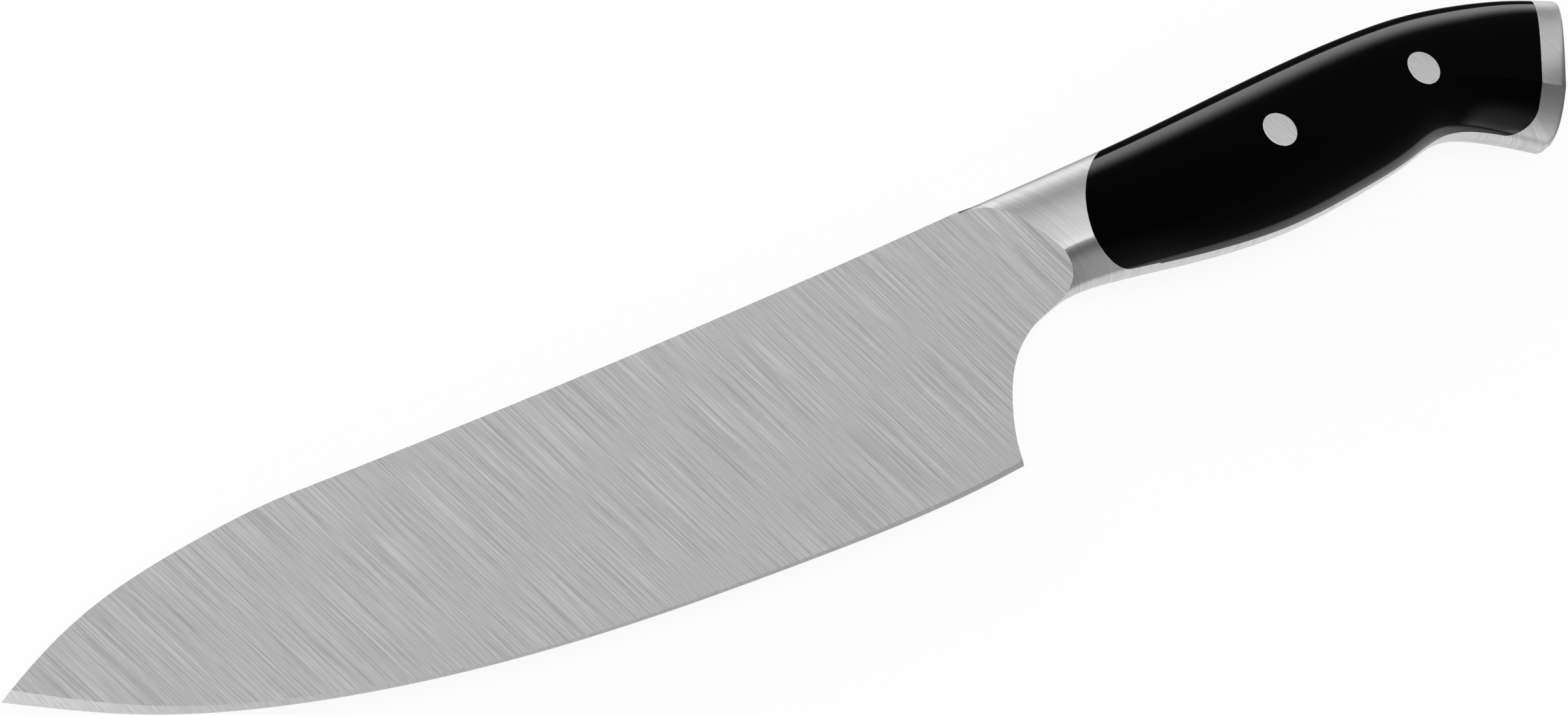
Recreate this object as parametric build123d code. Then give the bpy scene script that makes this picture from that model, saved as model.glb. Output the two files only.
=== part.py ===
"""Forged chef's knife, lying on its side: blade, bolster, full tang and butt cap in one steel
forging, two black scales and two cutler's rivets. Millimetres.

Working axes: X runs from the tip to the butt, Y from the edge to the spine, and Z across the
thickness, with Z = 0 on the knife's plane of symmetry. The finished pieces are moved so that
the origin is the centre of the knife's box.
"""

import os
from math import cos, radians, sin

from build123d import *

os.makedirs("parts", exist_ok=True)

# ------------------------------------------------------------------ driving dimensions, mm
blade_length = 200.0            # tip to heel, along X
belly_depth = 34.85             # tip down to the lowest point of the cutting edge
heel_lift = 0.45                # the edge's last curl up to the heel
spine_height = 13.1             # tip up to the spine
spine_hollow = 0.97             # how far the long spine dips between its ends
spine_ease = 0.2                # the spine meets the bolster this much below spine_height
spine_drop_start = 66.0         # X at which the spine starts to fall to the tip
choil_run = 26.0                # heel to where the choil meets the bolster's underside
blade_root = 6.0                # the blade's blank runs this much further into the bolster
root_dip = 1.1                  # and its top falls this far below the spine on the way

spine_thickness = 2.9           # blade at the spine, where it meets the bolster
tip_thickness = 1.3             # blade behind the point
shoulder_thickness = 0.34       # blade behind the edge bevel, at mid-length
bevel_angle = 18.0              # each side of the cutting edge, degrees

grind_slant = 21.0              # the grinding belt ran this far off square, degrees
plunge_radius = 9.0             # hollow where the ground side runs up into the bolster
plunge_start = 14.5             # heel to where that hollow starts on the spine

handle_length = 158.7           # heel to the middle of the butt's end face
neck_depth = 9.5                # bolster's underside below the tip's level
belly_swell = 14.6              # belly of the handle below that level
waist_depth = 10.8              # finger waist behind the belly
beak_reach = 28.4               # middle of the end face, down along it, to the beak
beak_curl = 8.4                 # the last of that reach, over which the face bends in
hump_height = 15.1              # top of the handle above that level
neck_thickness = 11.6
grip_thickness = 17.6
butt_thickness = 15.6
widest_share = 0.42             # a section is widest this far down from its top
tang_thickness = 5.0

butt_slant = 34.5               # the end face leans this far from square, degrees
butt_level = 1.8                # height of its middle
cap_width = 5.6                 # steel between the scales' rear end and the end face
end_break = 0.7                 # broken edge round the end face

bolster_length = 34.8           # heel to the foremost point of the scales
scale_front_level = -3.6        # height of that point
scale_front_lean = 17.0         # the scales' front end leans back this much at the top
scale_front_bow = 2.4           # and bows forward this much
scale_corner_radius = 6.5       # front corner on the belly side
scale_heel_radius = 5.6         # rear corner, inside the beak

rivet_start = 82.8              # heel to the front rivet
rivet_pitch = 37.5
rivet_level = 1.9
rivet_head = 7.0                # head diameter
rivet_head_depth = 2.6          # how deep the heads sit in the scales
rivet_tube = 5.0                # outer diameter of the tubular half
rivet_bore = 3.2                # bore of the tubular half
rivet_tube_gap = 0.3            # between the end of the tube and the other head
rivet_stud_gap = 2.0            # between the end of the stud and the bottom of its bore
rivet_clearance = 0.02          # on the radius, round heads, tubes and studs

# ------------------------------------------------------------------ derived values
heel = Vector(blade_length, heel_lift - belly_depth)
butt = Vector(blade_length + handle_length, butt_level)
down_butt = Vector(-sin(radians(butt_slant)), -cos(radians(butt_slant)))
off_butt = Vector(-cos(radians(butt_slant)), sin(radians(butt_slant)))
reach = 60.0                    # far enough outside the knife for any cutting tool
half_tang = tang_thickness / 2


def mirrored(shape):
    return mirror(shape, Plane.XY)


def through(face, low=-reach, high=reach):
    """A tool that runs across the knife between two heights."""
    return extrude(Pos(0, 0, low) * face, amount=high - low, dir=(0, 0, 1))


def blend(a, b, share):
    return a + (b - a) * share


# ------------------------------------------------------------------ handle form


def along_handle(share):
    """X of a station, as a share of the way from the heel to the butt."""
    return blade_length + share * handle_length


def handle_stations():
    """From inside the bolster to past the butt: place and height of the top point and of the
    bottom point, half thickness, fullness of the upper and of the lower curve."""
    spine, neck, belly, waist = spine_height, -neck_depth, -belly_swell, -waist_depth
    thin, thick, end = neck_thickness / 2, grip_thickness / 2, butt_thickness / 2
    return [
        (0.076, spine - spine_ease, 0.076, neck - 0.1, thin * 0.9, 0.56, 0.52),
        (0.164, spine - 0.1, 0.164, neck, thin, 0.56, 0.50),
        (0.239, spine, 0.246, neck - 0.7, blend(thin, thick, 0.3), 0.58, 0.58),
        (0.328, spine + 0.2, 0.328, blend(neck, belly, 0.51), blend(thin, thick, 0.6), 0.62, 0.66),
        (0.479, blend(spine, hump_height, 0.55), 0.473, belly, thick - 0.1, 0.66, 0.66),
        (0.655, hump_height, 0.624, blend(belly, waist, 0.24), thick, 0.68, 0.66),
        (0.725, hump_height - 0.1, 0.700, blend(belly, waist, 0.62), thick - 0.1, 0.68, 0.67),
        (0.794, hump_height - 0.7, 0.762, waist, blend(thick, end, 0.4), 0.66, 0.68),
        (0.882, hump_height - 3.0, 0.825, waist - 3.1, blend(thick, end, 0.7), 0.64, 0.68),
        (0.958, hump_height - 6.4, 0.879, waist - 8.3, end, 0.64, 0.66),
        (1.034, hump_height - 11.2, 0.933, waist - 13.9, end - 0.1, 0.64, 0.66),
    ]


def handle_section(x_top, y_top, x_bottom, y_bottom, half, full_top, full_bottom):
    """One egg-shaped station, standing on the line from its top to its bottom point."""
    high = Vector(along_handle(x_top), y_top, 0)
    low = Vector(along_handle(x_bottom), y_bottom, 0)
    down = (low - high).normalized()
    length = (low - high).length
    widest = widest_share * length
    rest = length - widest

    def at(along, across):
        return high + down * along + Vector(0, 0, across)

    def half_curve(side):
        crown = side * half
        upper = Bezier(
            at(0, 0),
            at(0, full_top * crown),
            at(widest * (1 - full_top), crown),
            at(widest, crown),
        )
        lower = Bezier(
            at(widest, crown),
            at(widest + full_bottom * rest, crown),
            at(length, full_bottom * crown),
            at(length, 0),
        )
        return upper, lower

    left_upper, left_lower = half_curve(1)
    right_upper, right_lower = half_curve(-1)
    return Wire([left_upper, left_lower, right_lower, right_upper])


def butt_point(along, inward=0.0):
    """A point in side view, measured down the end face and in from it."""
    return butt + down_butt * along + off_butt * inward


def butt_cut():
    """All that lies beyond the butt: a leaning end face that bends in to the beak."""
    top, knee = butt_point(-30), butt_point(beak_reach - beak_curl)
    hook = Spline(
        knee,
        butt_point(beak_reach - 3.5, 0.15),
        butt_point(beak_reach - 0.8, 0.95),
        butt_point(beak_reach, 2.7),
        tangents=[down_butt, off_butt],
    )
    away = butt_point(beak_reach + 1.6, 10)
    far = butt.X + reach
    low = away.Y - reach
    outer = Polyline(hook @ 1, away, (away.X, low), (far, low), (far, top.Y), top, knee)
    return through(make_face(hook + outer))


def handle_form():
    """The smooth outer body of bolster, scales and cap, cut at the butt, edge broken."""
    form = Solid.make_loft([handle_section(*station) for station in handle_stations()])
    cut = butt_cut()
    ended = form - cut
    rim = [edge for edge in new_edges(form, cut, combined=ended) if abs((edge % 0.5).Z) < 0.99]
    return fillet(rim, end_break)


# ------------------------------------------------------------------ blade


def edge_curve():
    """The cutting edge, tip to heel, bellied over its whole length."""
    shares = [(0, 0), (0.10, 0.303), (0.25, 0.596), (0.50, 0.857), (0.75, 0.972), (0.95, 1)]
    points = [(across * blade_length, -drop * belly_depth) for across, drop in shares]
    return Spline(*points, heel)


def spine_curve():
    """The spine from the bolster to the tip: a long shallow hollow, then the drop."""
    start = Vector(spine_drop_start, spine_height)
    level = Vector(blade_length + plunge_start, spine_height - spine_ease)
    hollow = ThreePointArc(
        level, ((level.X + spine_drop_start) / 2, spine_height - spine_hollow), start
    )
    drop = Spline(
        start,
        (0.68 * spine_drop_start, 0.92 * spine_height),
        (0.30 * spine_drop_start, 0.595 * spine_height),
        (0, 0),
        tangents=[hollow % 1, (-0.90, -0.44)],
    )
    return hollow + drop


def choil_curve(inside):
    """From the heel up round the choil to the underside of the bolster."""
    rise = -neck_depth - heel.Y

    def at(run, lift):
        return heel + Vector(run * choil_run, lift * rise)

    middle = [at(0.154, 0.422), at(0.431, 0.775), at(0.777, 0.952)]
    end = Vector(inside, at(1, 1.02).Y)
    return Spline(heel, *middle, end, tangents=[(0.16, 1), (1, 0.04)])


def blade_face():
    """Side view of the blade, with a root that dips inside the bolster."""
    inside = blade_length + choil_run + blade_root
    choil, spine = choil_curve(inside), spine_curve()
    root = Polyline(choil @ 1, (inside, spine_height - root_dip), spine @ 0)
    return make_face(edge_curve() + choil + root + spine)


def side_plane():
    """A point on the blade's ground left side and its normal, from three thicknesses."""
    at_bolster = Vector(blade_length + plunge_start, spine_height, spine_thickness / 2)
    at_tip = Vector(0, 0, tip_thickness / 2)
    middle = edge_curve() @ 0.5
    at_edge = Vector(middle.X, middle.Y, shoulder_thickness / 2)
    normal = (at_edge - at_tip).cross(at_bolster - at_tip).normalized()
    return at_bolster, normal


def flat_grind():
    """All that lies above the plane of the blade's left side."""
    start, normal = side_plane()
    size = 3 * blade_length
    block = Box(size, size, reach, align=(Align.CENTER, Align.CENTER, Align.MIN))
    return Plane(origin=start, z_dir=normal) * block


def belt_grind():
    """All that the grinding belt takes off the bolster's left side: flat along the blade,
    then up in a hollow, and run slantwise across."""
    start, normal = side_plane()
    lean = radians(grind_slant)
    across = Vector(cos(lean), sin(lean), 0)
    across = (across - normal * across.dot(normal)).normalized()
    belt = Plane(origin=start, x_dir=across, z_dir=across.cross(normal))
    ahead = -3 * reach
    hollow = CenterArc((0, plunge_radius), plunge_radius, -90, 90)
    back = Polyline(hollow @ 1, (plunge_radius, reach), (ahead, reach), (ahead, 0), (0, 0))
    return extrude(belt * make_face(hollow + back), amount=3 * reach, both=True)


def bevel_keep():
    """What the left edge bevel leaves: all above the edge, drawn in by the bevel."""
    edge = edge_curve()
    start = edge @ 0 - (edge % 0) * 20
    end = Vector(blade_length + handle_length, heel.Y)
    box = Polyline(edge @ 1, end, (end.X, reach), (start.X, reach), start, edge @ 0)
    side = make_face(edge + box)
    return extrude(side, amount=spine_thickness, dir=(0, 0, 1), taper=90 - bevel_angle)


def blade():
    """The blade with its flat grinds and edge bevels, running into the bolster."""
    flat, keep = flat_grind(), bevel_keep()
    plate = through(blade_face(), -spine_thickness, spine_thickness)
    plate = plate - flat - mirrored(flat)
    return plate & (keep + mirrored(keep))


# ------------------------------------------------------------------ scales and rivets


def scale_face():
    """Side view of a scale, running out past the top and the belly of the handle."""
    front = Vector(blade_length + bolster_length, scale_front_level)
    top = Vector(front.X + scale_front_lean + 4, spine_height + 4)
    bow = (front + top) * 0.5 + Vector(-scale_front_bow, 1) * 2
    corner = Vector(front.X + 0.9, -neck_depth - 0.1)
    rear_corner = butt_point(beak_reach - 1.2, cap_width)
    rear_low = rear_corner + Vector(-0.9, 0.436) * 9
    below = -belly_swell - 12
    nose = ThreePointArc(top, bow, front)
    rest = Polyline(
        front,
        corner,
        corner + (12.5, -2.1),
        (front.X + 27, below),
        (rear_low.X - 9, below),
        rear_low,
        rear_corner,
        butt_point(-20, cap_width),
        top,
    )
    outline = make_face(nose + rest)
    for place, radius in ((corner, scale_corner_radius), (rear_corner, scale_heel_radius)):
        outline = fillet(outline.vertices().sort_by_distance(place)[0], radius)
    return outline


def post(x, diameter, low, high):
    """A round post across the knife at the rivets' level."""
    upright = Cylinder(diameter / 2, high - low, align=(Align.CENTER, Align.CENTER, Align.MIN))
    return Pos(x, rivet_level, low) * upright


def rivet(form, x):
    """Both halves of a cutler's rivet, flush with the handle, and the holes that take it."""
    probe = Edge.make_line((x, rivet_level, 0), (x, rivet_level, reach))
    face_height = (form & probe).bounding_box().max.Z
    seat = face_height - rivet_head_depth
    gap = 2 * rivet_clearance
    head = post(x, rivet_head, seat, reach) & form
    bore = post(x, rivet_bore, -reach, seat)
    tube = head + post(x, rivet_tube, rivet_tube_gap - seat, seat) - bore
    stud = mirrored(head) + post(x, rivet_bore - gap, -seat, seat - rivet_stud_gap)
    sink = post(x, rivet_head + gap, seat, reach)
    hole = post(x, rivet_tube + gap, -reach, reach) + sink + mirrored(sink)
    return tube, stud, hole


# ------------------------------------------------------------------ pieces


def pieces():
    form = handle_form()
    belt = belt_grind()
    scale_space = through(scale_face(), half_tang)
    steel = form - scale_space - mirrored(scale_space) - belt - mirrored(belt) + blade()
    scale = form & scale_space
    made = {}
    for place, along in (("front", rivet_start), ("rear", rivet_start + rivet_pitch)):
        tube, stud, hole = rivet(form, blade_length + along)
        steel, scale = steel - hole, scale - hole
        made[place + "_rivet_tube"] = tube
        made[place + "_rivet_stud"] = stud
    made["blade_forging"] = steel
    made["left_scale"] = scale
    made["right_scale"] = mirrored(scale)
    return {name: shape.solid() for name, shape in made.items()}


def main():
    made = pieces()
    middle = Compound(made.values()).bounding_box().center()
    for name, piece in made.items():
        export_step(piece.moved(Location(-middle)), f"parts/{name}.step")


main()
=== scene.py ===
"""Chef's knife lying on its side: steel, black scales and rivets, dressed for a studio picture."""

import math

import bmesh
import bpy
import numpy as np
from mathutils import Matrix, Vector


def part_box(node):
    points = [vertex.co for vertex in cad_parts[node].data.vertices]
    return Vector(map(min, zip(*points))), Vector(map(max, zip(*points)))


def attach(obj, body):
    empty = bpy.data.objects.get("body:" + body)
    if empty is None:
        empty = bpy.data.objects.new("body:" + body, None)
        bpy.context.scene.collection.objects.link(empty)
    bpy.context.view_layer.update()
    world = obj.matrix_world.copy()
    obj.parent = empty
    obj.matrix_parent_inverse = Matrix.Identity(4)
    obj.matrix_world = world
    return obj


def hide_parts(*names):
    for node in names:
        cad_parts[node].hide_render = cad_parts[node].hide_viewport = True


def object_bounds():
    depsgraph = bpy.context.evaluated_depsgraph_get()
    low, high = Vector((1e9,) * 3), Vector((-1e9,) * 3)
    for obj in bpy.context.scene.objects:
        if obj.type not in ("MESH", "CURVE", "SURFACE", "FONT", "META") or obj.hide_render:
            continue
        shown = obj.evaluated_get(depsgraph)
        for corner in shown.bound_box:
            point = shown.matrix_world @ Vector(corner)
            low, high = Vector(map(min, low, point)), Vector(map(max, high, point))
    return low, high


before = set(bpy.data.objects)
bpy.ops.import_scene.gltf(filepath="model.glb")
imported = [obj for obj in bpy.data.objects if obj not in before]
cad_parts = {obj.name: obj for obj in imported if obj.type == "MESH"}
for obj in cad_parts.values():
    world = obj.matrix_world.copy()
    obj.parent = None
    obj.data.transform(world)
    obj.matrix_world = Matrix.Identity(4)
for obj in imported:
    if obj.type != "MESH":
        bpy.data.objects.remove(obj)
cad_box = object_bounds()
MM = 0.001

# ------------------------------------------------------------------ sizes, mm
# Working axes as in the CAD source: X from the tip to the butt, Y from the edge to the spine,
# Z out of the left side, with the tip at the origin. Depths and levels are heights along Y.

BLADE = 200.0
BELLY_DEPTH, HEEL_LIFT = 34.85, 0.45
SPINE_HEIGHT, SPINE_HOLLOW, SPINE_EASE, SPINE_DROP_START = 13.1, 0.97, 0.2, 66.0
CHOIL_RUN, CHOIL_RISE, BLADE_ROOT, ROOT_DIP = 26.0, 1.06, 6.0, 1.1
SPINE_THICKNESS, TIP_THICKNESS, SHOULDER_THICKNESS = 2.9, 1.3, 0.34
BEVEL_ANGLE, GRIND_SLANT = math.radians(18), math.radians(21)
GRIND_STOCK, PLUNGE_RADIUS, PLUNGE_START = 0.05, 9.0, 13.4
HANDLE, NECK_DEPTH, BELLY_SWELL, WAIST_DEPTH = 158.7, 9.5, 14.6, 10.8
BEAK_REACH, BEAK_CURL, HUMP_HEIGHT = 28.4, 8.4, 15.1
NECK, GRIP, BUTT_WIDTH, TANG, WIDEST = 11.6, 17.6, 15.6, 4.2, 0.42
RIDGE, RIDGE_TURN = 0.66, math.tan(math.radians(14))
BUTT_SLANT, BUTT_LEVEL, CAP, END_BREAK = math.radians(34.5), 1.8, 5.6, 0.7
BOLSTER, FRONT_LEVEL, FRONT_LEAN, FRONT_RISE, FRONT_BOW = 34.8, -2.0, 12.6, 14.4, 2.6
FRONT_CORNER, CORNER_LEAD, FRONT_RADIUS, REAR_CORNER, HEEL_RADIUS = -8.8, 0.4, 8.0, 1.2, 5.6
RIVET_START, RIVET_PITCH, RIVET_LEVEL, RIVET_HEAD, HEAD_DEPTH = 82.8, 37.5, 1.9, 7.0, 2.6
RIVET_BREAK, SEAT_PLAY, SEAT_ROOM = 0.03, 0.02, 0.6

# Shares of a curve's full run and rise, at the points that it passes.
EDGE_CURVE = ((0, 0), (0.10, 0.303), (0.25, 0.596), (0.50, 0.857), (0.75, 0.972), (0.95, 1))
CHOIL_CURVE = ((0.154, 0.422), (0.431, 0.775), (0.777, 0.952))
DROP_CURVE = ((0.68, 0.92), (0.30, 0.595))

HEEL = np.array([BLADE, HEEL_LIFT - BELLY_DEPTH])
BUTT = np.array([BLADE + HANDLE, BUTT_LEVEL])
DOWN_BUTT = np.array([-math.sin(BUTT_SLANT), -math.cos(BUTT_SLANT)])
OFF_BUTT = np.array([-math.cos(BUTT_SLANT), math.sin(BUTT_SLANT)])
ACROSS_GRIND = np.array([math.cos(GRIND_SLANT), math.sin(GRIND_SLANT), 0])
BEYOND = 60  # past the knife's sides, for the tools that cut it
SECTIONS, NEAR_BUTT = 420, 240  # along the handle form, and the first that can meet the butt

# From the working origin to the frame's, by the axis of the front rivet.
rivet_low, rivet_high = (np.array(corner[:2]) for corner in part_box("front_rivet_tube"))
SHIFT = np.append((rivet_low + rivet_high) / 2 / MM - [BLADE + RIVET_START, RIVET_LEVEL], 0)


# ------------------------------------------------------------------ curves and plain meshes


def unit(v):
    return v / np.linalg.norm(v, axis=-1, keepdims=True)


def spline(points, count, first=None, last=None):
    """A smooth curve through points of any dimension, evenly sampled along its chords."""
    p = np.array(points, float)
    h = np.linalg.norm(np.diff(p, axis=0), axis=1)
    knots = np.concatenate([[0], np.cumsum(h)])
    n = len(p)
    matrix, known = np.zeros((n, n)), np.zeros_like(p)
    matrix[0, :2], known[0] = (2, 1), 3 * (p[1] - p[0]) / h[0]
    matrix[-1, -2:], known[-1] = (1, 2), 3 * (p[-1] - p[-2]) / h[-1]
    for i in range(1, n - 1):
        matrix[i, i - 1:i + 2] = h[i], 2 * (h[i - 1] + h[i]), h[i - 1]
        known[i] = 3 * (h[i] * (p[i] - p[i - 1]) / h[i - 1] + h[i - 1] * (p[i + 1] - p[i]) / h[i])
    if first is not None:
        matrix[0], known[0] = 0, unit(np.array(first, float))
        matrix[0, 0] = 1
    if last is not None:
        matrix[-1], known[-1] = 0, unit(np.array(last, float))
        matrix[-1, -1] = 1
    slope = np.linalg.solve(matrix, known)
    at = np.linspace(0, knots[-1], count)
    i = np.clip(np.searchsorted(knots, at, side="right") - 1, 0, n - 2)
    s = ((at - knots[i]) / h[i])[:, None]
    step = h[i][:, None]
    return (
        p[i] * (1 + 2 * s) * (1 - s) ** 2 + slope[i] * step * s * (1 - s) ** 2
        + p[i + 1] * s * s * (3 - 2 * s) + slope[i + 1] * step * s * s * (s - 1)
    )


def arc_through(a, b, c, count):
    """Points on the circle from a through b to c."""
    a, b, c = (np.array(q, float) for q in (a, b, c))
    middle = np.linalg.solve(2 * np.array([b - a, c - a]), [b @ b - a @ a, c @ c - a @ a])
    angles = [math.atan2(*(q - middle)[::-1]) for q in (a, b, c)]
    sweep = (angles[2] - angles[0]) % (2 * math.pi)
    if (angles[1] - angles[0]) % (2 * math.pi) > sweep:
        sweep -= 2 * math.pi
    turn = angles[0] + np.linspace(0, sweep, count)
    return middle + np.linalg.norm(a - middle) * np.stack([np.cos(turn), np.sin(turn)], 1)


def rounded(corner, before, after, radius, count=24):
    """Points that round a corner between its two neighbours."""
    corner = np.array(corner, float)
    u, v = unit(np.array(before) - corner), unit(np.array(after) - corner)
    half = math.acos(float(u @ v)) / 2
    middle = corner + unit(u + v) * radius / math.sin(half)
    start, end = corner + u * radius / math.tan(half), corner + v * radius / math.tan(half)
    nearest = middle + unit(corner - middle) * radius
    return arc_through(start, nearest, end, count)


def new_object(name, points, faces):
    """An object at the origin from points in working millimetres."""
    mesh = bpy.data.meshes.new(name)
    placed = (np.asarray(points, float) + SHIFT) * MM
    mesh.from_pydata(placed.tolist(), [], [list(map(int, f)) for f in faces])
    work = bmesh.new()
    work.from_mesh(mesh)
    bmesh.ops.remove_doubles(work, verts=work.verts, dist=1e-7)
    bmesh.ops.recalc_face_normals(work, faces=work.faces)
    work.to_mesh(mesh)
    work.free()
    made = bpy.data.objects.new(name, mesh)
    bpy.context.scene.collection.objects.link(made)
    return made


def prism(name, outline, low, high):
    """An outline in side view, run across the knife between two heights."""
    n = len(outline)
    flat = np.asarray(outline, float)
    points = np.vstack([np.column_stack([flat, np.full(n, z)]) for z in (low, high)])
    sides = [(i, (i + 1) % n, n + (i + 1) % n, n + i) for i in range(n)]
    return new_object(name, points, sides + [range(n), range(n, 2 * n)])


def strip(name, rings):
    """A closed bar through rings of points."""
    n, m = len(rings), len(rings[0])
    faces = [
        (i * m + j, i * m + (j + 1) % m, (i + 1) * m + (j + 1) % m, (i + 1) * m + j)
        for i in range(n - 1) for j in range(m)
    ]
    ends = [range(m), range((n - 1) * m, n * m)]
    return new_object(name, np.concatenate(rings), faces + ends)


def bake_modifiers(made):
    """Turns a piece and its modifiers into plain mesh."""
    shown = made.evaluated_get(bpy.context.evaluated_depsgraph_get())
    mesh = bpy.data.meshes.new_from_object(shown)
    made.modifiers.clear()
    made.data = mesh


def combine(made, tool, operation):
    """Cuts, joins or crosses a piece with a tool, and throws the tool away."""
    step = made.modifiers.new("cut", "BOOLEAN")
    step.operation, step.object, step.solver = operation, tool, "EXACT"
    bake_modifiers(made)
    bpy.data.objects.remove(tool)
    return made


# ------------------------------------------------------------------ handle form


def stations():
    """Place and height of the top and the bottom point, half thickness, fullness of the curves."""
    def blend(a, b, share):
        return a + (b - a) * share

    spine, neck, belly = SPINE_HEIGHT, -NECK_DEPTH, -BELLY_SWELL
    waist, hump = -WAIST_DEPTH, HUMP_HEIGHT
    thin, thick, end = NECK / 2, GRIP / 2, BUTT_WIDTH / 2
    return [
        (0.076, spine - SPINE_EASE, 0.076, neck - 3.6, thin * 0.9, 0.56, 0.52),
        (0.128, spine - 0.15, 0.132, neck - 1.3, thin * 0.95, 0.56, 0.51),
        (0.164, spine - 0.1, 0.164, neck - 0.2, thin, 0.56, 0.50),
        (0.239, spine, 0.246, neck - 0.7, blend(thin, thick, 0.3), 0.58, 0.58),
        (0.328, spine + 0.2, 0.328, blend(neck, belly, 0.51), blend(thin, thick, 0.6), 0.62, 0.66),
        (0.479, blend(spine, hump, 0.55), 0.473, belly, thick - 0.1, 0.66, 0.66),
        (0.655, hump, 0.624, blend(belly, waist, 0.24), thick, 0.68, 0.66),
        (0.725, hump - 0.1, 0.700, blend(belly, waist, 0.62), thick - 0.1, 0.68, 0.67),
        (0.794, hump - 0.7, 0.762, waist, blend(thick, end, 0.4), 0.66, 0.68),
        (0.882, hump - 3.0, 0.825, waist - 3.1, blend(thick, end, 0.7), 0.68, 0.68),
        (0.958, hump - 6.4, 0.879, waist - 8.3, end, 0.76, 0.66),
        (1.034, hump - 11.2, 0.933, waist - 13.9, end - 0.1, 0.80, 0.66),
    ]


def section_poles(x_top, y_top, x_low, y_low, half, full_top, full_low):
    """The control points of one half section: rounded top, flat side down to the ridge, belly."""
    high = np.array([BLADE + x_top * HANDLE, y_top, 0])
    low = np.array([BLADE + x_low * HANDLE, y_low, 0])
    length = np.linalg.norm(low - high)
    down, out = unit(low - high), np.array([0, 0, 1.0])
    ridge = RIDGE * length
    flat = (WIDEST / RIDGE * (0.54 - 0.375 * full_top) - 0.125) / 0.375
    turned = (length - ridge) / 2
    # The ridge is soft at the bolster and crisp at the cap.
    ease = RIDGE_TURN * np.interp(x_top, (0.2, 0.9), (0.6, 1))
    along = [0, 0, ridge * flat, ridge, ridge + turned, length, length]
    across = [
        0, (full_top - 0.02) * half, half * 0.98, half,
        half - turned * ease, (full_low - 0.11) * half, 0,
    ]
    return [high + down * a + out * c for a, c in zip(along, across)]


def handle_poles():
    """The control points of many sections along the handle, blended from the stations."""
    poles = spline([np.ravel(section_poles(*s)) for s in stations()], SECTIONS)
    return poles.reshape(SECTIONS, 7, 3)


def butt_curve():
    """The butt in side view from above its top to below the beak, as a dense line."""
    def at(along, inward=0.0):
        return BUTT + DOWN_BUTT * along + OFF_BUTT * inward

    curl_start = at(BEAK_REACH - BEAK_CURL)
    curled = [at(BEAK_REACH - 3.5, 0.15), at(BEAK_REACH - 0.8, 0.95), at(BEAK_REACH, 2.7)]
    hook = spline([curl_start, *curled], 60, DOWN_BUTT, OFF_BUTT)
    face = np.linspace(at(-20), curl_start, 60)
    return np.vstack([at(-30), face[:-1], hook, at(BEAK_REACH + 1.6, 10)])


def nearest_on(line, points):
    """Each point's nearest leg of the line, share along it, offset from its start and distance."""
    start, leg = line[:-1], np.diff(line, axis=0)
    off = points[:, None] - start
    share = np.clip((off * leg).sum(2) / (leg**2).sum(1), 0, 1)
    far = np.linalg.norm(off - share[..., None] * leg, axis=2)
    best = far.argmin(1)
    row = np.arange(len(points))
    return best, share[row, best], off[row, best], far[row, best]


def to_curve(points, curve):
    """Signed distance inside the curve and length along it, for points in side view."""
    best, share, off, far = nearest_on(curve, points)
    leg = np.diff(curve, axis=0)
    size = np.linalg.norm(leg, axis=1)
    before = np.concatenate([[0], np.cumsum(size)[:-1]])
    side = leg[best, 0] * off[:, 1] - leg[best, 1] * off[:, 0]
    past_end = (best == len(leg) - 1) & (share == 1)
    sign = np.where((side < 0) | past_end, 1, -1)
    return sign * far, before[best] + share * size[best]


def to_normal(points, curve):
    """The unit direction into the knife from the nearest stretch of the curve."""
    leg = np.diff(curve, axis=0)[nearest_on(curve, points[:, :2])[0]]
    return unit(np.column_stack([leg[:, 1], -leg[:, 0]]))


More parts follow.
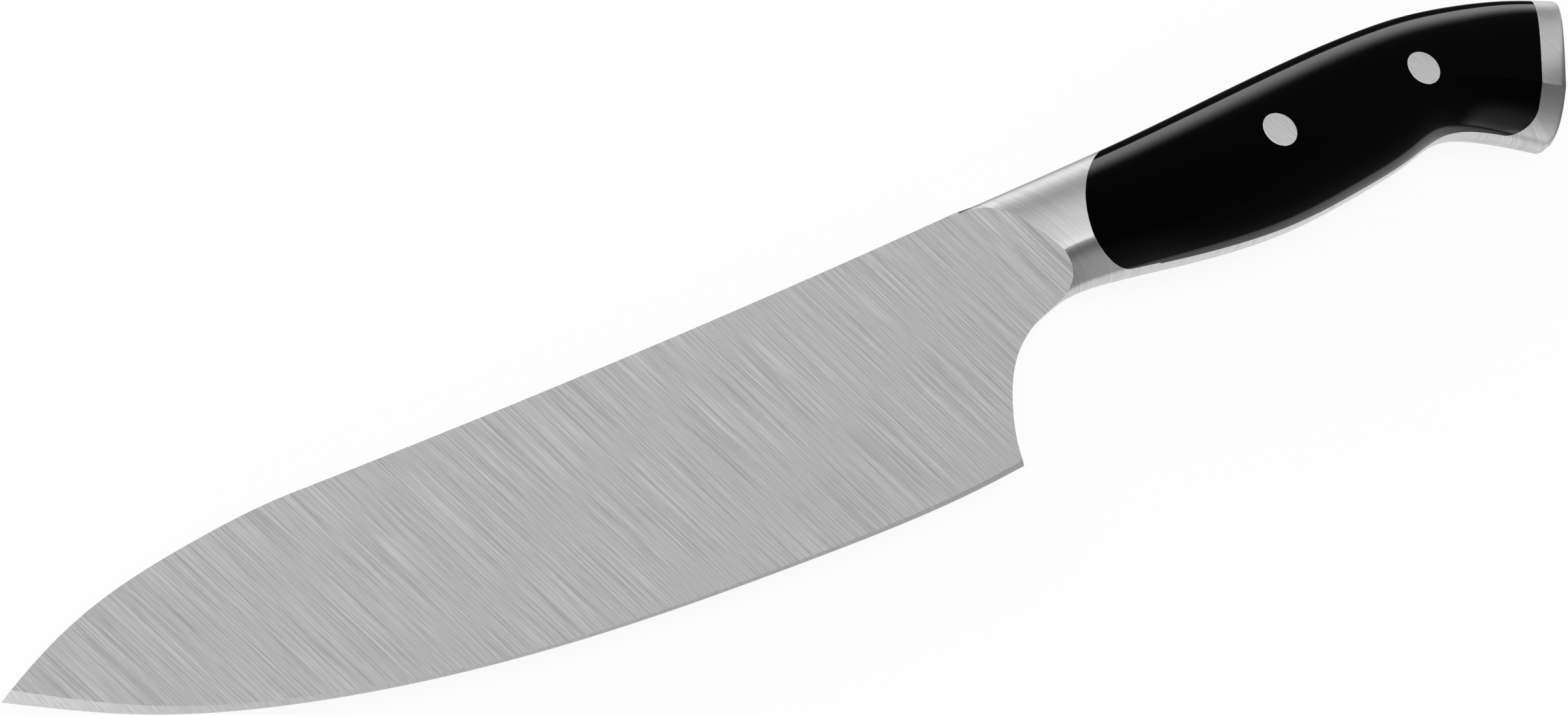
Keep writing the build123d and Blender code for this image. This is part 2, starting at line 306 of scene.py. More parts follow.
def handle_form(rings=170, quarter=24):
    """The smooth outer body of bolster, scales and cap, with its broken edge at the butt."""
    poles = handle_poles()
    t = np.linspace(0, 1, quarter + 1)[:, None]
    weights = np.concatenate([(1 - t) ** 3, 3 * t * (1 - t) ** 2, 3 * t * t * (1 - t), t**3], 1)
    upper = np.einsum("qk,skd->sqd", weights, poles[:, :4])
    lower = np.einsum("qk,skd->sqd", weights[1:], poles[:, 3:])
    left = np.concatenate([upper, lower], 1)
    right = left[:, -2:0:-1] * [1, 1, -1]
    skin = np.concatenate([left, right], 1)
    count = skin.shape[1]
    curve = butt_curve()
    lengths = np.concatenate([[0], np.cumsum(np.linalg.norm(np.diff(curve, axis=0), axis=1))])
    depth = to_curve(skin[NEAR_BUTT:, :, :2].reshape(-1, 2), curve)[0].reshape(-1, count)
    steps = np.arange(NEAR_BUTT, SECTIONS)

    def at_step(step):
        low = np.clip(step.astype(int), 0, SECTIONS - 2)
        share = (step - low)[:, None]
        column = np.arange(count)
        return skin[low, column] * (1 - share) + skin[low + 1, column] * share

    def step_at_depth(wanted):
        return np.array([np.interp(-wanted[j], -depth[:, j], steps) for j in range(count)])

    end = step_at_depth(np.zeros(count))
    ahead = unit(at_step(end) - at_step(end - 1.0))
    inward = to_normal(at_step(end), curve)
    radius = END_BREAK * np.clip((ahead[:, :2] * -inward).sum(1), 0, 1)
    start = step_at_depth(radius)
    made = [at_step(start * share) for share in np.linspace(0, 1, rings)]
    around = unit(np.roll(made[-1], -1, 0) - np.roll(made[-1], 1, 0))
    out = unit(np.cross(around, ahead))
    out *= np.sign((out * (made[-1] - made[-1].mean(0))).sum(1))[:, None]
    for turn in np.linspace(0, math.pi / 2, 6)[1:]:
        ring = at_step(step_at_depth(radius * (1 - math.sin(turn))))
        made.append(ring - out * (radius * (1 - math.cos(turn)))[:, None])
    rim = made[-1]
    along = to_curve(rim[:, :2], curve)[1]
    middle = (along.min() + along.max()) / 2
    for share in (1, 0.97, 0.9, 0.75, 0.55, 0.35, 0.15):
        place = middle + share * (along - middle)
        flat = np.column_stack([np.interp(place, lengths, curve[:, k]) for k in (0, 1)])
        ring = np.column_stack([flat, rim[:, 2] * share])
        if share == 1:
            made[-1] = ring
        else:
            made.append(ring)
    return strip("handle_form", made)


# ------------------------------------------------------------------ blade and its grinds


def edge_line(count=160):
    """The cutting edge in side view, from the tip to the heel."""
    return spline([(run * BLADE, -drop * BELLY_DEPTH) for run, drop in EDGE_CURVE] + [HEEL], count)


def across_to(point, direction, line):
    """How far a point is from a line of points, in one direction."""
    start, leg = line[:-1] - point, np.diff(line, axis=0)
    turn = direction[0] * leg[:, 1] - direction[1] * leg[:, 0]
    far = (start[:, 0] * leg[:, 1] - start[:, 1] * leg[:, 0]) / turn
    share = (start[:, 0] * direction[1] - start[:, 1] * direction[0]) / turn
    met = far[(share >= 0) & (share <= 1) & (far > 1e-6)]
    return met.min() if len(met) else 1e3


def blade_blank():
    """The blade's stock before its sides are ground: bevelled edge, spine, choil and root."""
    inside, rise_to_neck = BLADE + CHOIL_RUN + BLADE_ROOT, -NECK_DEPTH - HEEL[1]
    half, rise = SPINE_THICKNESS / 2 + GRIND_STOCK, math.tan(BEVEL_ANGLE)
    climb = [HEEL + [run * CHOIL_RUN, up * rise_to_neck] for run, up in CHOIL_CURVE]
    root_end = (inside, HEEL[1] + CHOIL_RISE * rise_to_neck)
    choil = spline([HEEL, *climb, root_end], 80, (0.16, 1), (1, 0.2))
    level = (BLADE + PLUNGE_START, SPINE_HEIGHT - SPINE_EASE)
    start = (SPINE_DROP_START, SPINE_HEIGHT)
    middle = ((level[0] + start[0]) / 2, SPINE_HEIGHT - SPINE_HOLLOW)
    hollow = arc_through(level, middle, start, 80)
    fall = [(run * start[0], up * start[1]) for run, up in DROP_CURVE]
    drop = spline([start, *fall, (0, 0)], 120, hollow[-1] - hollow[-2], (-0.90, -0.44))
    spine = np.vstack([hollow, drop[1:]])
    edge = edge_line()
    ahead = unit(np.gradient(edge, axis=0))
    inward = np.column_stack([-ahead[:, 1], ahead[:, 0]])
    wide = np.array([0] + [across_to(e, n, spine) for e, n in zip(edge[1:], inward[1:])])
    wide = np.minimum(wide, half / rise)
    full = int(np.argmax(wide >= half / rise))
    low = np.column_stack([edge, 0 * wide])
    high = np.column_stack([edge + inward * wide[:, None], wide * rise])
    lift = (choil - HEEL) @ inward[-1] * rise
    rising = slice(30)  # the bevel reaches full thickness within the choil's first points
    turn_point = [np.interp(half, lift[rising], choil[rising, k]) for k in (0, 1)] + [half]
    heel = np.column_stack([choil, lift])[lift < half]
    choil = np.column_stack([choil, np.full(len(choil), half)])[lift > half]
    spine = np.column_stack([spine, np.full(len(spine), half)])[spine[:, 0] > high[full - 1, 0]]
    root = [(inside, SPINE_HEIGHT - ROOT_DIP, half)]
    left = [[low[i], low[i + 1], high[i + 1], high[i]] for i in range(len(low) - 1)]
    left.append([high[full - 1], high[full], spine[-1]])
    left.append([*heel, turn_point, high[-1]])
    left.append([*high[full:], turn_point, *choil, *root, *spine])
    rim = np.vstack([high[:full], spine[::-1], root, choil[::-1], [turn_point], heel[::-1]])
    mirror = np.array([1, 1, -1])
    right = [np.array(p) * mirror for p in left]
    walls = [[a, b, b * mirror, a * mirror] for a, b in zip(rim[:-1], rim[1:])]
    return shell("blade_blank", [*left, *right, *walls])


def shell(name, polygons):
    """A closed piece from loose polygons that share their corners."""
    sizes = [len(p) for p in polygons]
    ends = np.cumsum(sizes)
    return new_object(name, np.vstack(polygons), [range(e - n, e) for e, n in zip(ends, sizes)])


def side_plane():
    """A point on the blade's ground left side and its normal."""
    at_bolster = np.array([BLADE + PLUNGE_START, SPINE_HEIGHT, SPINE_THICKNESS / 2])
    at_tip = np.array([0, 0, TIP_THICKNESS / 2])
    at_edge = np.append(edge_line(161)[80], SHOULDER_THICKNESS / 2)
    return at_bolster, unit(np.cross(at_edge - at_tip, at_bolster - at_tip))


def belt_directions():
    """Across the belt's lines and along them, both in the ground side's plane."""
    normal = side_plane()[1]
    across = unit(ACROSS_GRIND - normal * (ACROSS_GRIND @ normal))
    return across, np.cross(across, normal)


def belt_tool(side):
    """What the belt takes off a side: flat along the blade, then up in a hollow, run slantwise."""
    start, normal = side_plane()
    across, along = belt_directions()
    past_tip, past_edges = 320, 180
    turn = np.linspace(0, math.pi / 2, 49)
    hollow = [(PLUNGE_RADIUS * math.sin(a), PLUNGE_RADIUS * (1 - math.cos(a))) for a in turn]
    profile = [(-past_tip, 0), *hollow, (PLUNGE_RADIUS, BEYOND), (-past_tip, BEYOND)]
    rings = [
        [(start + a * across + b * normal + far * along) * [1, 1, side] for a, b in profile]
        for far in (-past_edges, past_edges)
    ]
    return strip("belt", np.array(rings))


def scale_outline():
    """A scale in side view, running out past the top and the belly of the handle."""
    front = np.array([BLADE + BOLSTER, FRONT_LEVEL])
    lean = np.array([FRONT_LEAN, FRONT_RISE])
    bow = front + lean / 2 + unit(np.array([-FRONT_RISE, FRONT_LEAN])) * FRONT_BOW
    nose = arc_through(front + lean, bow, front, 60)
    corner = np.array([front[0] + CORNER_LEAD, FRONT_CORNER])
    belly = corner + [12.5, -2.1]
    rear_corner = BUTT + DOWN_BUTT * (BEAK_REACH - REAR_CORNER) + OFF_BUTT * CAP
    along_beak = np.array([-0.9, 0.436])
    rear_low = rear_corner + along_beak * 9
    # From here on the outline only has to stay outside the handle.
    above = nose[0] + unit(nose[0] - nose[1]) * 7
    rear_top = BUTT - DOWN_BUTT * 20 + OFF_BUTT * CAP
    below = -BELLY_SWELL - 12
    return np.vstack([
        [above],
        nose,
        rounded(corner, front, belly, FRONT_RADIUS),
        [belly, (front[0] + 27, below), (rear_low[0] - 9, below), rear_low],
        rounded(rear_corner, rear_low, rear_top, HEEL_RADIUS),
        [rear_top],
    ])


def scale_tool(side):
    """The space of a scale beside the tang, on one side."""
    return prism("scale_space", scale_outline(), *sorted((side * TANG / 2, side * BEYOND)))


def rivet_seat(along, side):
    """The space of a rivet's head in a scale, on one side."""
    turn = np.linspace(0, 2 * math.pi, 72, endpoint=False)
    radius = RIVET_HEAD / 2 + SEAT_PLAY
    x, y = BLADE + along + radius * np.cos(turn), RIVET_LEVEL + radius * np.sin(turn)
    floor = GRIP / 2 - HEAD_DEPTH - SEAT_ROOM
    return prism("rivet_seat", np.column_stack([x, y]), *sorted((side * floor, side * BEYOND)))


def duplicate(made, name):
    """A piece's twin, with a mesh of its own."""
    twin = made.copy()
    twin.data = made.data.copy()
    twin.name = name
    bpy.context.scene.collection.objects.link(twin)
    return twin


def smooth(made):
    """Smooth shading, but for sharp corners and the ridge along each side of the handle."""
    made.data.shade_smooth()
    made.data.set_sharp_from_angle(angle=math.radians(30))
    place = np.empty(len(made.data.vertices) * 3)
    made.data.vertices.foreach_get("co", place)
    place = place.reshape(-1, 3) / MM - SHIFT
    place[:, 2] = abs(place[:, 2])
    on_ridge = np.zeros(len(place), bool)
    near = np.flatnonzero((place[:, 0] > BLADE + BOLSTER + 10) & (place[:, 2] > NECK / 4))
    on_ridge[near] = nearest_on(handle_poles()[:, 3], place[near])[3] < 0.01
    for edge in made.data.edges:
        if on_ridge[edge.vertices[0]] and on_ridge[edge.vertices[1]]:
            edge.use_edge_sharp = True


def knife_shapes():
    """The handle form, and the forging and both scales cut from it."""
    form = handle_form()
    steel = combine(duplicate(form, "steel_forging"), blade_blank(), "UNION")
    for cutter in (belt_tool, scale_tool):
        for side in (1, -1):
            combine(steel, cutter(side), "DIFFERENCE")
    scales = [
        combine(duplicate(form, name + "_handle_scale"), scale_tool(side), "INTERSECT")
        for name, side in (("left", 1), ("right", -1))
    ]
    for scale, side in zip(scales, (1, -1)):
        for along in (RIVET_START, RIVET_START + RIVET_PITCH):
            combine(scale, rivet_seat(along, side), "DIFFERENCE")
    for made in [steel, *scales]:
        smooth(made)
    return form, steel, scales


# ------------------------------------------------------------------ nodes


def linear(code):
    """An sRGB hex colour as linear red, green, blue and alpha."""
    channels = [int(code[i:i + 2], 16) / 255 for i in (1, 3, 5)]
    return [c / 12.92 if c <= 0.04045 else ((c + 0.055) / 1.055) ** 2.4 for c in channels] + [1]


def add(tree, kind, values=None, links=None, stops=(), **settings):
    """Adds a node with its settings, the values of its inputs and the links into them.

    A ramp's stops are each a place and a hex colour.
    """
    node = tree.nodes.new(kind)
    for name, value in settings.items():
        setattr(node, name, value)
    for key, value in (values or {}).items():
        node.inputs[key].default_value = value
    for key, source in (links or {}).items():
        tree.links.new(source, node.inputs[key])
    for _ in stops[2:]:
        node.color_ramp.elements.new(0.5)
    for i, (where, colour) in enumerate(stops):
        stop = node.color_ramp.elements[i]
        stop.position, stop.color = where, linear(colour)
    return node


# ------------------------------------------------------------------ rivets


def rivet_tree():
    """Sets a row of round heads into both faces of the body it is given, flush with them."""
    tree = bpy.data.node_groups.new("Flush rivet heads", "GeometryNodeTree")
    tree.interface.new_socket("Handle", in_out="INPUT", socket_type="NodeSocketGeometry")
    for name in ("First rivet", "Spacing", "Level", "Head radius", "Head depth", "Edge break"):
        tree.interface.new_socket(name, in_out="INPUT", socket_type="NodeSocketFloat")
    tree.interface.new_socket("Steel", in_out="INPUT", socket_type="NodeSocketMaterial")
    tree.interface.new_socket("Rivets", in_out="OUTPUT", socket_type="NodeSocketGeometry")
    given = add(tree, "NodeGroupInput").outputs
    outside = 0.1  # metres; the heads start here and are dropped on the handle from both sides

    first = add(
        tree, "ShaderNodeCombineXYZ", links={"X": given["First rivet"], "Y": given["Level"]},
    )
    step = add(tree, "ShaderNodeCombineXYZ", links={"X": given["Spacing"]})
    row = add(
        tree, "GeometryNodeMeshLine", {"Count": 2},
        {"Start Location": first.outputs[0], "Offset": step.outputs[0]}, mode="OFFSET",
    )
    rows = add(tree, "GeometryNodeJoinGeometry")
    for height in (outside, -outside):
        moved = add(
            tree, "GeometryNodeTransform", {"Translation": (0, 0, height)},
            {"Geometry": row.outputs["Mesh"]},
        )
        tree.links.new(moved.outputs[0], rows.inputs[0])
    head = add(
        tree, "GeometryNodeMeshCylinder", {"Vertices": 72, "Fill Segments": 12},
        {"Radius": given["Head radius"], "Depth": given["Head depth"]}, fill_type="TRIANGLE_FAN",
    )
    place = add(tree, "GeometryNodeInputPosition")
    split = add(tree, "ShaderNodeSeparateXYZ", links={0: place.outputs[0]})
    off_axis = add(
        tree, "ShaderNodeVectorMath", {1: (1, 1, 0)}, {0: place.outputs[0]}, operation="MULTIPLY",
    )
    far = add(tree, "ShaderNodeVectorMath", links={0: off_axis.outputs[0]}, operation="LENGTH")
    rim = add(tree, "ShaderNodeMath", {1: 0.99}, {0: given["Head radius"]}, operation="MULTIPLY")
    at_rim = add(
        tree, "ShaderNodeMath", links={0: far.outputs["Value"], 1: rim.outputs[0]},
        operation="GREATER_THAN",
    )
    at_bottom = add(
        tree, "ShaderNodeMath", {1: 0.0}, {0: split.outputs["Z"]}, operation="LESS_THAN",
    )
    rim_sink = add(
        tree, "ShaderNodeMath", links={0: at_rim.outputs[0], 1: given["Edge break"]},
        operation="MULTIPLY",
    )
    sink = add(
        tree, "ShaderNodeMath",
        links={0: at_bottom.outputs[0], 1: given["Head depth"], 2: rim_sink.outputs[0]},
        operation="MULTIPLY_ADD",
    )
    marked = add(
        tree, "GeometryNodeStoreNamedAttribute", {"Name": "sink"},
        {"Geometry": head.outputs["Mesh"], "Value": sink.outputs[0]},
    )
    half_turn = add(
        tree, "ShaderNodeMath", {1: math.pi}, {0: at_bottom.outputs[0]}, operation="MULTIPLY",
    )
    turned = add(tree, "ShaderNodeCombineXYZ", links={"X": half_turn.outputs[0]})
    heads = add(
        tree, "GeometryNodeInstanceOnPoints", links={
            "Points": rows.outputs[0], "Instance": marked.outputs[0], "Rotation": turned.outputs[0],
        },
    )
    real = add(tree, "GeometryNodeRealizeInstances", links={"Geometry": heads.outputs[0]})
    side = add(tree, "ShaderNodeMath", links={0: split.outputs["Z"]}, operation="SIGN")
    other_way = add(
        tree, "ShaderNodeMath", {1: -1.0}, {0: side.outputs[0]}, operation="MULTIPLY",
    )
    inward = add(tree, "ShaderNodeCombineXYZ", links={"Z": other_way.outputs[0]})
    ray = add(
        tree, "GeometryNodeRaycast", {"Ray Length": 1.0}, {
            "Target Geometry": given["Handle"], "Source Position": place.outputs[0],
            "Ray Direction": inward.outputs[0],
        },
    )
    kept = add(tree, "GeometryNodeInputNamedAttribute", {"Name": "sink"})
    drop = add(
        tree, "ShaderNodeVectorMath", links={0: inward.outputs[0], "Scale": kept.outputs[0]},
        operation="SCALE",
    )
    seated = add(
        tree, "ShaderNodeVectorMath", links={0: ray.outputs["Hit Position"], 1: drop.outputs[0]},
        operation="ADD",
    )
    set_in = add(
        tree, "GeometryNodeSetPosition",
        links={"Geometry": real.outputs[0], "Position": seated.outputs[0]},
    )
    steel = add(
        tree, "GeometryNodeSetMaterial",
        links={"Geometry": set_in.outputs[0], "Material": given["Steel"]},
    )
    add(tree, "NodeGroupOutput", links={"Rivets": steel.outputs[0]})
    return tree


def rivet_heads(form, steel):
    """Both rivets' heads, as one piece, dressed flush with the handle form."""
    made = duplicate(form, "rivet_heads")
    row = made.modifiers.new("rivets", "NODES")
    row.node_group = rivet_tree()
    sizes = {
        "First rivet": (BLADE + RIVET_START + SHIFT[0]) * MM,
        "Spacing": RIVET_PITCH * MM,
        "Level": (RIVET_LEVEL + SHIFT[1]) * MM,
        "Head radius": RIVET_HEAD / 2 * MM,
        "Head depth": HEAD_DEPTH * MM,
        "Edge break": RIVET_BREAK * MM,
        "Steel": steel,
    }
    for socket in row.node_group.interface.items_tree:
        if socket.name in sizes:
            row[socket.identifier] = sizes[socket.name]
    bake_modifiers(made)
    made.data.attributes.remove(made.data.attributes["sink"])
    smooth(made)
    return made


# ------------------------------------------------------------------ finishes


def face_facts(made):
    """Faces' middles and normals, corners' places and corners' faces, in working axes."""
    mesh = made.data

    def read(items, name, width=3, kind=float):
        values = np.empty(len(items) * width, kind)
        items.foreach_get(name, values)
        return values.reshape(-1, width) if width > 1 else values

    middle = read(mesh.polygons, "center") / MM - SHIFT
    normal = read(mesh.polygons, "normal")
    place = read(mesh.vertices, "co")[read(mesh.loops, "vertex_index", 1, int)] / MM - SHIFT
    owner = np.repeat(np.arange(len(middle)), read(mesh.polygons, "loop_total", 1, int))
    return middle, normal, place, owner


def lay_map(made, across, along):
    """A UV map, named for the belt's lines, whose U runs across them and whose V runs along."""
    layer = made.data.uv_layers.new(name="Lines")
    layer.data.foreach_set("uv", np.column_stack([across, along]).ravel() / 100)


def finish_forging(made, finishes):
    """Sorts the forging's faces by how they were ground, and lays the lines on each.

    The finishes are the blade's, the edge's and the body's. Small tolerances are mm or cosines.
    """
    middle, normal, place, owner = face_facts(made)
    side = np.where(middle[:, 2] < 0, -1, 1)[:, None] * [0, 0, 1] + [1, 1, 0]
    middle, normal = middle * side, normal * side
    start, ground = side_plane()
    across, along = belt_directions()
    off = middle - start
    from_axis = off - ground * PLUNGE_RADIUS
    from_axis = np.linalg.norm(from_axis - (from_axis @ along)[:, None] * along, axis=1)
    in_plane = (abs(off @ ground) < 0.03) & (normal @ ground > 0.999)
    flat = in_plane & (off @ across < 0.02)
    on_curve = (abs(from_axis - PLUNGE_RADIUS) < 0.06) & (normal[:, 0] < 0.01)
    hollow = on_curve & (off @ across > 0) & ~flat
    tilted = abs(normal[:, 2] - math.cos(BEVEL_ANGLE)) < 0.03
    bevel = tilted & (middle[:, 0] < BLADE + 1) & ~hollow
    end = (normal @ np.append(-OFF_BUTT, 0) > 0.93) & (middle[:, 0] > BLADE + HANDLE - 25)
    wall = (abs(normal[:, 2]) < 0.02) & (middle[:, 0] < BLADE + CHOIL_RUN - 3) & ~end
    FLAT, HOLLOW, BEVEL, END, WALL, BODY = range(6)
    kind = np.select([flat, hollow, bevel, end, wall], [FLAT, HOLLOW, BEVEL, END, WALL], BODY)
    finish_of = np.array([0, 0, 1, 2, 2, 2])
    made.data.materials.clear()
    for finish in finishes:
        made.data.materials.append(finish)
    made.data.polygons.foreach_set("material_index", finish_of[kind])
    at = kind[owner]
    belted = at <= BEVEL
    round_body = -10 * np.arctan2(abs(place[:, 2]), place[:, 1])
    wrapped = np.column_stack([place[:, 0], round_body])
    lines_on_body = wrapped @ (-ACROSS_GRIND[1], ACROSS_GRIND[0])
    u = np.select([belted, at == BODY], [place @ across, wrapped @ ACROSS_GRIND[:2]], place[:, 2])
    v = np.select(
        [belted, at == END, at == WALL],
        [place @ along, place[:, :2] @ DOWN_BUTT, place[:, 0] + place[:, 1]],
        lines_on_body,
    )
    lay_map(made, u, v)
    work = bmesh.new()
    work.from_mesh(made.data)
    work.faces.ensure_lookup_table()
    for edge in work.edges:
        sorts = {int(kind[face.index]) for face in edge.link_faces}
        if len(sorts) > 1:
            edge.smooth = False
    work.to_mesh(made.data)
    work.free()


def new_material(name):
    material = bpy.data.materials.new(name)
    material.use_nodes = True
    material.node_tree.nodes.clear()
    return material, material.node_tree


def ground_steel(name, dark, light, roughness, spread, pitch, length, scratch):
    """Steel with the parallel marks of a belt, each a little lighter or darker than the next.

    Pitch and length of the marks are in mm. Real marks are finer, about 0.1 mm apart. The pitches
    used here start at 0.3 mm, so that the marks still show in a picture of the whole knife.
    """
    material, tree = new_material(name)
    place = add(tree, "ShaderNodeTexCoord")
    drawn = add(
        tree, "ShaderNodeMapping",
        {"Rotation": (0, 0, GRIND_SLANT), "Scale": (pitch * MM, length * MM, length * MM)},
        {"Vector": place.outputs["Object"]}, vector_type="TEXTURE",
    )
    lines = add(
        tree, "ShaderNodeTexNoise", {"Scale": 1.0, "Detail": 3.0, "Roughness": 0.85},
        {"Vector": drawn.outputs[0]},
    ).outputs["Fac"]
    rub = add(
        tree, "ShaderNodeMapRange",
        {"From Min": 0.3, "From Max": 0.7, "To Min": roughness + 0.03, "To Max": roughness - 0.03},
        {"Value": lines},
    )
    tone = add(
        tree, "ShaderNodeValToRGB", links={"Fac": lines}, stops=((0.32, dark), (0.68, light)),
    )
    bump = add(
        tree, "ShaderNodeBump", {"Strength": scratch, "Distance": 0.01 * MM}, {"Height": lines},
    )
    way = add(tree, "ShaderNodeTangent", direction_type="UV_MAP", uv_map="Lines")
    surface = add(
        tree, "ShaderNodeBsdfPrincipled", {"Metallic": 1.0, "Anisotropic": spread}, {
            "Base Color": tone.outputs["Color"], "Roughness": rub.outputs[0],
            "Normal": bump.outputs[0], "Tangent": way.outputs[0],
        },
    )
    add(tree, "ShaderNodeOutputMaterial", links={"Surface": surface.outputs[0]})
    return material


def black_plastic():
    """Moulded acetal, buffed with the handle: deep black under one smooth, slightly soft gloss."""
    material, tree = new_material("Moulded black acetal, buffed")
    gloss = add(
        tree, "ShaderNodeBsdfPrincipled",
        {"Base Color": linear("#020202"), "Roughness": 0.1, "IOR": 1.48},
    )
    add(tree, "ShaderNodeOutputMaterial", links={"Surface": gloss.outputs[0]})
    return material


def dress_knife():
    """Makes the knife's pieces with their finishes, and hands them over with what they replace."""
    form, forging, scales = knife_shapes()
    # Stainless steel drawn slantwise over a belt, so its lines slant too: a satin that smears
    # highlights across the lines, with one soft, even grey over the whole flat side.
    blade = ground_steel(
        "Belt-ground stainless steel", "#9c9c9c", "#c4c4c4",
        roughness=0.58, spread=0.95, pitch=0.32, length=26, scratch=0.4,
    )
    # The edge is honed on a finer wheel, which leaves no long lines: a pale, matt bevel.
    edge = ground_steel(
        "Honed stainless steel", "#cccccc", "#e2e2e2",
        roughness=0.6, spread=0.0, pitch=0.4, length=6, scratch=0.2,
    )
    # Bolster, tang and cap are run round on a finer belt: clear bands of light under faint lines.
    body = ground_steel(
        "Finely belted stainless steel", "#bcbcbc", "#d8d8d8",
        roughness=0.38, spread=0.9, pitch=0.32, length=26, scratch=0.3,
    )
    # The rivets are ground flush by hand after the scales are on: fine lines, no polish.
    head = ground_steel(
        "Ground rivet steel", "#cccccc", "#e8e8e8",
        roughness=0.6, spread=0.5, pitch=0.3, length=8, scratch=0.2,
    )
    plastic = black_plastic()
    rivets = rivet_heads(form, head)
    bpy.data.objects.remove(form)
    finish_forging(forging, (blade, edge, body))
    place = face_facts(rivets)[2]
    lay_map(rivets, place @ ACROSS_GRIND, place[:, 1] - place[:, 2])
    for made, nodes, slot in (
        (forging, ["blade_forging"], "blade_steel"),
        (scales[0], ["left_scale"], "scale_plastic"),
        (scales[1], ["right_scale"], "scale_plastic"),
        (rivets, [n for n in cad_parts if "rivet" in n], "rivet_steel"),
    ):
        if slot == "scale_plastic":
            made.data.materials.clear()
            made.data.materials.append(plastic)
        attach(made, "root")
        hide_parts(*nodes)


# ------------------------------------------------------------------ floor, light and camera


def pale_floor():
    """A pale floor that looks white and still takes the shadow, and that shines in the knife.

    What the knife mirrors of it is a painted reflection: a glow with painted shade that fades it
    far in front and makes it dark behind the spine, which draws the thin dark line along the top
    of scales and bolster.
    """
    low, size = cad_box[0].z, 6  # metres
    corners = [(-size, -size, low), (size, -size, low), (size, size, low), (-size, size, low)]
    mesh = bpy.data.meshes.new("floor")
    mesh.from_pydata(corners, [], [(0, 1, 2, 3)])
    floor = bpy.data.objects.new("floor", mesh)
    bpy.context.scene.collection.objects.link(floor)
    material, tree = new_material("Pale studio floor")
    place = add(tree, "ShaderNodeTexCoord")
    split = add(tree, "ShaderNodeSeparateXYZ", links={0: place.outputs["Object"]})
    reach = 200  # mm, to either side of the middle
    across = add(
        tree, "ShaderNodeMapRange", {"From Min": -reach * MM, "From Max": reach * MM},
        {"Value": split.outputs["Y"]},
    )
    # Painted shade on what the knife mirrors: white beside the knife, dimmer far in front, dark
    # just behind the spine.
    stops = ((-190, "#606060"), (-80, "#ffffff"), (6, "#ffffff"), (24, "#303030"))
    shares = [((where + SHIFT[1] + reach) / (2 * reach), colour) for where, colour in stops]
    painted_floor_shade = add(
        tree, "ShaderNodeValToRGB", links={"Fac": across.outputs[0]}, stops=shares,
    )
    rays = add(tree, "ShaderNodeLightPath")
    matte = add(tree, "ShaderNodeBsdfDiffuse", {"Color": linear("#fafafa")})
    white = add(tree, "ShaderNodeEmission", {"Color": linear("#ffffff"), "Strength": 1.0})
    # Painted glow that the knife mirrors in place of the lit floor, carrying the painted shade
    # above.
    painted_floor_reflection = add(tree, "ShaderNodeEmission", {"Strength": 1.0}, {"Color": painted_floor_shade.outputs[0]})
    # Nine parts of plain white to one of lit floor, so that the shadow stays faint.
    seen = add(
        tree, "ShaderNodeMath", {1: 0.9}, {0: rays.outputs["Is Camera Ray"]}, operation="MULTIPLY",
    )
    plain = add(
        tree, "ShaderNodeMixShader",
        links={"Fac": seen.outputs[0], 1: matte.outputs[0], 2: white.outputs[0]},
    )
    mix = add(
        tree, "ShaderNodeMixShader",
        links={"Fac": rays.outputs["Is Glossy Ray"], 1: plain.outputs[0], 2: painted_floor_reflection.outputs[0]},
    )
    add(tree, "ShaderNodeOutputMaterial", links={"Surface": mix.outputs[0]})
    mesh.materials.append(material)


def softbox(name, along, around, glow, turn=0.0):
    """A flat softbox, by the angles off the upright that it fills along and across the knife.

    Its glow is the level at which it is mirrored, where white is 1.
    """
    reach = 5  # metres
    west, east = (math.tan(math.radians(a)) * reach for a in along)
    tilt, half = (math.radians((around[1] + sign * around[0]) / 2) for sign in (1, -1))
    light = bpy.data.lights.new(name, "AREA")
    light.shape, light.size, light.size_y = "RECTANGLE", east - west, 2 * math.tan(half) * reach
    light.energy = glow * math.pi * light.size * light.size_y
    lamp = bpy.data.objects.new(name, light)
    lamp.location = ((west + east) / 2, math.sin(tilt) * reach, math.cos(tilt) * reach)
    lamp.rotation_mode, lamp.rotation_euler = "ZYX", (-tilt, 0, turn)
    bpy.context.scene.collection.objects.link(lamp)


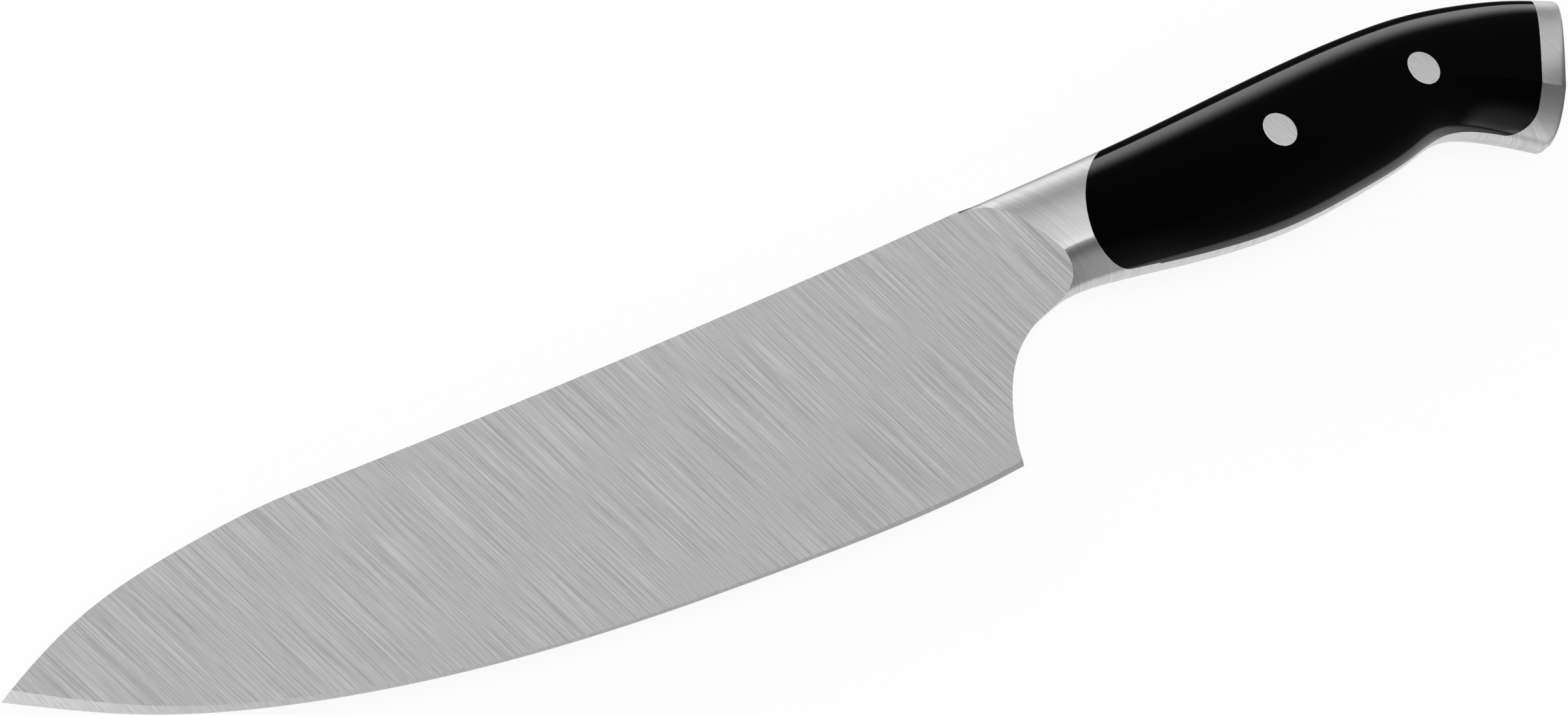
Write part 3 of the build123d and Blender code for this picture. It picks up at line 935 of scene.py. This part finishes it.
def studio():
    """A cove, pale low down and dark overhead and past the butt, a lit wall, and two softboxes."""
    world = bpy.data.worlds.new("Studio")
    world.use_nodes = True
    tree = world.node_tree
    tree.nodes.clear()
    look = add(tree, "ShaderNodeTexCoord")
    aim = add(tree, "ShaderNodeSeparateXYZ", links={0: look.outputs["Generated"]})
    cove = add(
        tree, "ShaderNodeValToRGB", links={"Fac": aim.outputs["Z"]},
        stops=((0, "#ffffff"), (0.35, "#bcbcbc"), (0.7, "#949494"), (0.88, "#1c1c1c")),
    )
    past_butt = add(
        tree, "ShaderNodeMapRange",
        {"From Min": 0.2, "From Max": 0.45, "To Min": 1.0, "To Max": 0.12},
        {"Value": aim.outputs["X"]}, interpolation_type="SMOOTHSTEP",
    )
    # The wall behind the spine, by the angle off the upright that it is seen at across the knife.
    lean = add(
        tree, "ShaderNodeMath", links={0: aim.outputs["Y"], 1: aim.outputs["Z"]},
        operation="ARCTAN2",
    )
    wall = add(
        tree, "ShaderNodeMapRange",
        {"From Min": math.radians(46), "From Max": math.radians(72), "To Max": 2.2},
        {"Value": lean.outputs[0]}, interpolation_type="SMOOTHSTEP",
    )
    rays = add(tree, "ShaderNodeLightPath")
    dim = add(
        tree, "ShaderNodeBackground",
        links={"Color": cove.outputs[0], "Strength": past_butt.outputs[0]},
    )
    glow = add(
        tree, "ShaderNodeBackground", {"Color": linear("#ffffff")}, {"Strength": wall.outputs[0]},
    )
    lit = add(tree, "ShaderNodeAddShader", links={0: dim.outputs[0], 1: glow.outputs[0]})
    white = add(tree, "ShaderNodeBackground", {"Color": linear("#ffffff"), "Strength": 1.0})
    mix = add(
        tree, "ShaderNodeMixShader",
        links={"Fac": rays.outputs["Is Camera Ray"], 1: lit.outputs[0], 2: white.outputs[0]},
    )
    add(tree, "ShaderNodeOutputWorld", links={"Surface": mix.outputs[0]})
    bpy.context.scene.world = world
    # Turned with the belt's lines, because the steel smears its highlights across them.
    softbox("Large softbox overhead", (-50, 20), (-23, 9), 3.1, GRIND_SLANT)
    softbox("Dim card low in front", (-60, 2), (-86, -42), 1.0)


def camera():
    """A long lens, high over the knife's left side and well towards the point."""
    data = bpy.data.cameras.new("Camera")
    data.sensor_width, data.lens = 36, 150
    data.clip_start, data.clip_end = 0.01, 50
    eye = bpy.data.objects.new("Camera", data)
    right = Vector((0.76794, -0.49218, 0.40990)).normalized()
    up = Vector((0.33084, 0.85277, 0.40414))
    up = (up - right * up.dot(right)).normalized()
    turn = Matrix((right, up, right.cross(up))).transposed()
    place = Vector((-647.843, -190.990, 945.756)) * MM
    eye.matrix_world = Matrix.Translation(place) @ turn.to_4x4()
    bpy.context.scene.collection.objects.link(eye)
    bpy.context.scene.camera = eye


dress_knife()
pale_floor()
studio()
camera()
bpy.context.scene.view_settings.view_transform = "Standard"
